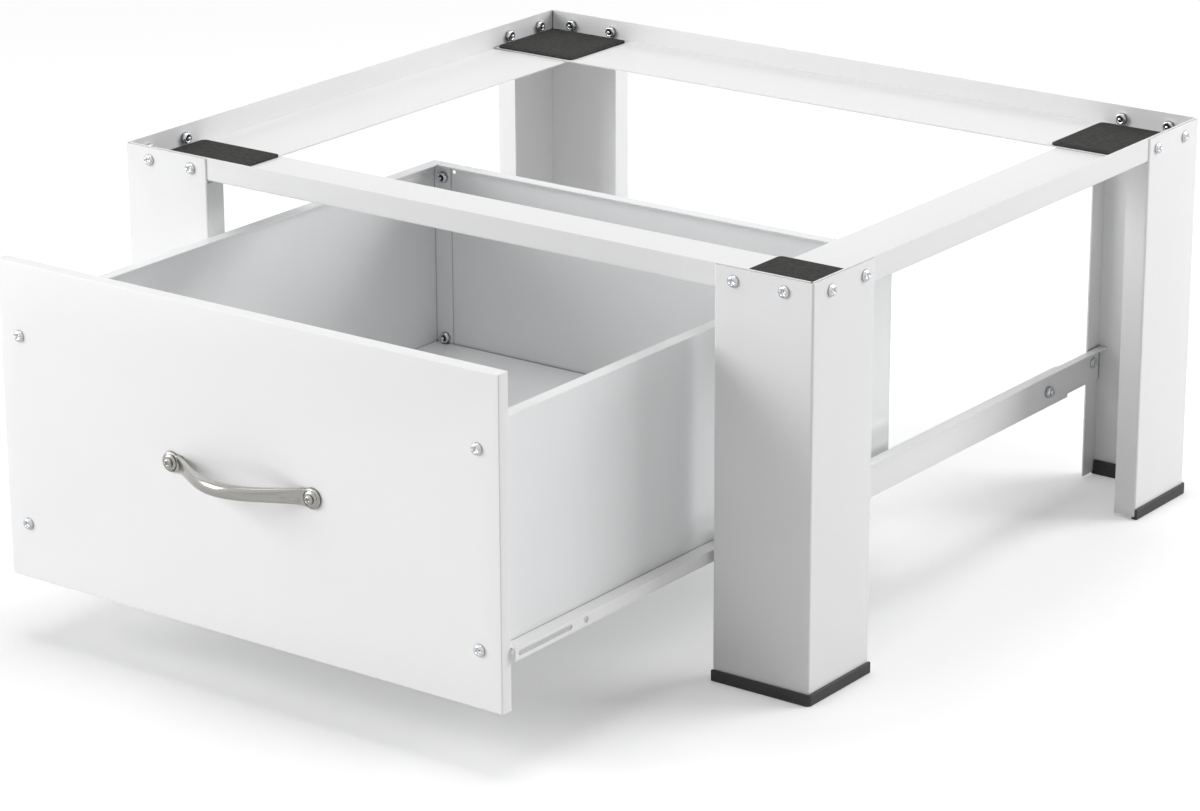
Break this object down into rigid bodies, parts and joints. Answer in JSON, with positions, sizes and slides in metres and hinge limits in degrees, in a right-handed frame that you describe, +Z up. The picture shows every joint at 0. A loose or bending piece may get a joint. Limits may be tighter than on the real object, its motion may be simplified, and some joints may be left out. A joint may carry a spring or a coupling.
{
  "type": "washing machine pedestal with drawer",
  "caption": "White sheet-steel stand with retaining rails on top for a washing machine and a pull-out drawer on roller slides below.",
  "frame": {"origin": "on the floor, under the middle of the footprint of stand and pulled-out drawer together", "axes": "+Z up; the drawer opens towards -Y; X runs across the stand from its left to its right"},
  "size_m": [0.6352, 0.8047, 0.31],
  "materials": {
    "stand_coat": "glossy white powder coat",
    "rail_coat": "glossy white powder coat",
    "strip_plastic": "black, slightly textured",
    "pad_rubber": "matt black",
    "slide_coat": "satin white coat",
    "panel_coat": "glossy white powder coat",
    "drawer_coat": "glossy white powder coat",
    "zinc": "bright zinc plating",
    "axle_steel": "bright steel",
    "handle_nickel": "brushed nickel",
    "roller_plastic": "natural white plastic"
  },
  "bodies": {
    "stand": {"front_left_leg": "stand_coat", "front_right_leg": "stand_coat", "back_left_leg": "stand_coat", "back_right_leg": "stand_coat", "left_side_bar": "stand_coat", "right_side_bar": "stand_coat", "front_rail": "rail_coat", "back_rail": "rail_coat", "left_rail": "rail_coat", "right_rail": "rail_coat", "front_left_foot_strip": "strip_plastic", "front_right_foot_strip": "strip_plastic", "back_left_foot_strip": "strip_plastic", "back_right_foot_strip": "strip_plastic", "front_left_pad": "pad_rubber", "front_right_pad": "pad_rubber", "back_left_pad": "pad_rubber", "back_right_pad": "pad_rubber", "left_channel": "slide_coat", "right_channel": "slide_coat", "leg_screws": "zinc", "leg_nuts": "zinc", "side_bar_screws": "zinc", "channel_bolts": "zinc", "channel_nuts": "zinc", "front_roller_axles": "axle_steel"},
    "drawer": {"drawer_front": "panel_coat", "drawer_left_side": "drawer_coat", "drawer_right_side": "drawer_coat", "drawer_back": "drawer_coat", "drawer_floor": "drawer_coat", "left_runner": "slide_coat", "right_runner": "slide_coat", "handle": "handle_nickel", "handle_washers": "handle_nickel", "handle_screws": "handle_nickel", "handle_nuts": "handle_nickel", "front_panel_screws": "zinc", "front_panel_nuts": "zinc", "drawer_back_screws": "zinc", "drawer_back_nuts": "zinc", "runner_screws": "zinc", "rear_roller_axles": "axle_steel"},
    "left_front_wheel": {"left_front_roller": "roller_plastic"},
    "right_front_wheel": {"right_front_roller": "roller_plastic"},
    "left_rear_wheel": {"left_rear_roller": "roller_plastic"},
    "right_rear_wheel": {"right_rear_roller": "roller_plastic"}
  },
  "joints": [
    {"name": "drawer_slide", "type": "slide", "parent": "stand", "child": "drawer", "axis": [0, -1, 0], "range_m": [-0.2326, 0.11]},
    {"name": "left_front_roller_spin", "type": "hinge", "parent": "stand", "child": "left_front_wheel", "pos_m": [-0.22215, -0.10625, 0.0845], "axis": [1, 0, 0], "continuous": true},
    {"name": "left_rear_roller_spin", "type": "hinge", "parent": "drawer", "child": "left_rear_wheel", "pos_m": [-0.22825, 0.09075, 0.0895], "axis": [1, 0, 0], "continuous": true},
    {"name": "right_front_roller_spin", "type": "hinge", "parent": "stand", "child": "right_front_wheel", "pos_m": [0.22215, -0.10625, 0.0845], "axis": [1, 0, 0], "continuous": true},
    {"name": "right_rear_roller_spin", "type": "hinge", "parent": "drawer", "child": "right_rear_wheel", "pos_m": [0.22825, 0.09075, 0.0895], "axis": [1, 0, 0], "continuous": true}
  ],
  "couplings": [
    {"joint": "left_front_roller_spin", "follows": "drawer_slide", "rad_per_m": 100},
    {"joint": "left_rear_roller_spin", "follows": "drawer_slide", "rad_per_m": 100},
    {"joint": "right_front_roller_spin", "follows": "drawer_slide", "rad_per_m": 100},
    {"joint": "right_rear_roller_spin", "follows": "drawer_slide", "rad_per_m": 100}
  ]
}
